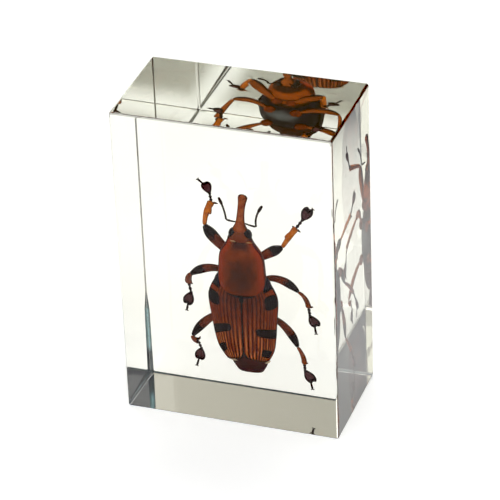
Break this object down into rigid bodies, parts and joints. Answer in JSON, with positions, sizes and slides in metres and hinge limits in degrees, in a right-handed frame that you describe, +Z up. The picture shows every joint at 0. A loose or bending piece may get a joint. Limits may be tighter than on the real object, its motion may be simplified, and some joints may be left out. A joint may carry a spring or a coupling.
{
  "type": "insect in resin block",
  "caption": "Clear cast-resin block with polished faces and softly rounded edges, standing on its small end, with a dried snout weevil sealed inside.",
  "frame": {"origin": "centre of the foot face, on the surface the block stands on", "axes": "+Z up along the block's long side; +Y from the front viewing face, which the weevil's back faces, to the rear one; +X to the right seen from the front"},
  "size_m": [0.04, 0.0218, 0.0605],
  "materials": {
    "clear_resin": "clear cast resin, hand polished to a gloss",
    "weevil_cuticle": "red-brown waxy insect shell with black marks, seen through the resin",
    "weevil_dark": "near-black glossy insect shell of the feet, antennae and eyes"
  },
  "bodies": {
    "root": {"resin_block": "clear_resin"}
  },
  "joints": []
}
